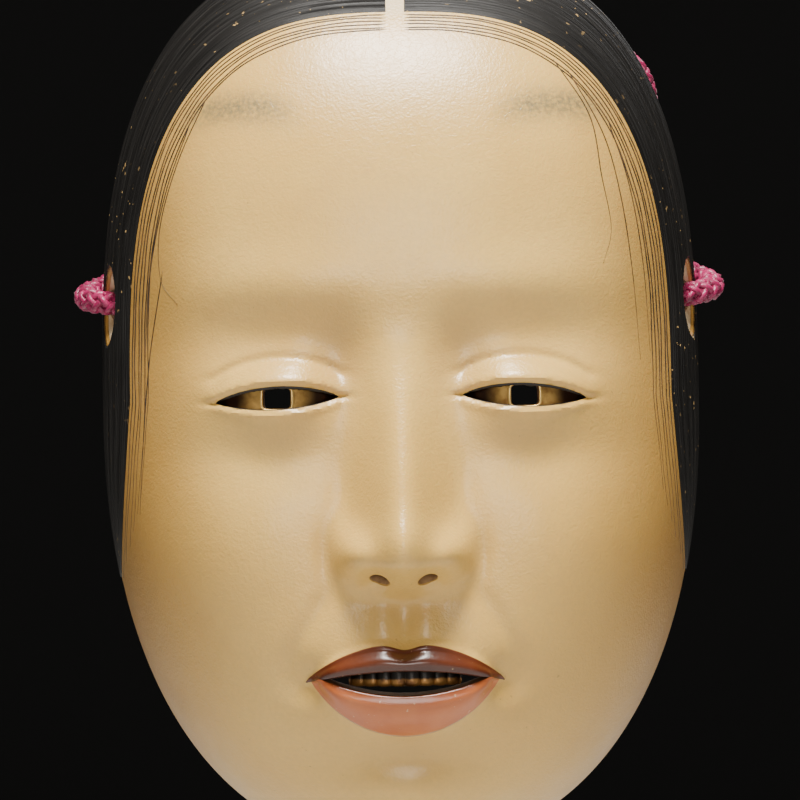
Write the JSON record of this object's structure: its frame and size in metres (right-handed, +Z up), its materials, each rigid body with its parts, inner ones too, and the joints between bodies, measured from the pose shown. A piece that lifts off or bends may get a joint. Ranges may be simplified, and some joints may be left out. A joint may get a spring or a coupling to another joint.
{
  "type": "noh theatre mask",
  "caption": "Carved wooden noh mask of a calm young woman with inked hair, gilt eyes and teeth, red lips and two silk cords.",
  "frame": {"origin": "middle of the flat back rim, level with the eyes, where the wearer's face comes in", "axes": "+Z up towards the crown, +Y out of the hollow towards the wearer, so the mask looks along -Y; +X to the right of someone who looks at it"},
  "size_m": [0.154, 0.0907, 0.212],
  "materials": {
    "bare_wood": "carved cypress, unpolished",
    "gofun_skin": "aged shell white, satin",
    "ink_hair": "black ink over gofun, satin",
    "back_urushi": "thin dark lacquer, worn",
    "upper_lip_red": "brick red, satin",
    "lower_lip_red": "terracotta, glossy",
    "tooth_gilt": "worn gilt, blackened above",
    "eye_gilt": "worn gilt",
    "silk_braid": "magenta silk, round braid",
    "silk_thread": "dark red silk thread"
  },
  "bodies": {
    "root": {"wood_shell": "bare_wood", "face_coat": "gofun_skin", "hair_coat": "ink_hair", "back_lacquer": "back_urushi", "upper_lip_coat": "upper_lip_red", "lower_lip_coat": "lower_lip_red", "upper_teeth": "tooth_gilt", "eye_gilding_left": "eye_gilt", "eye_gilding_right": "eye_gilt", "cord_left": "silk_braid", "cord_right": "silk_braid", "cord_stop_knot_left": "silk_braid", "cord_stop_knot_right": "silk_braid", "cord_hank_left": "silk_braid", "cord_hank_right": "silk_braid", "hank_tie_left": "silk_thread", "hank_tie_right": "silk_thread", "cord_end_knot_left": "silk_braid", "cord_end_knot_right": "silk_braid"}
  },
  "joints": []
}
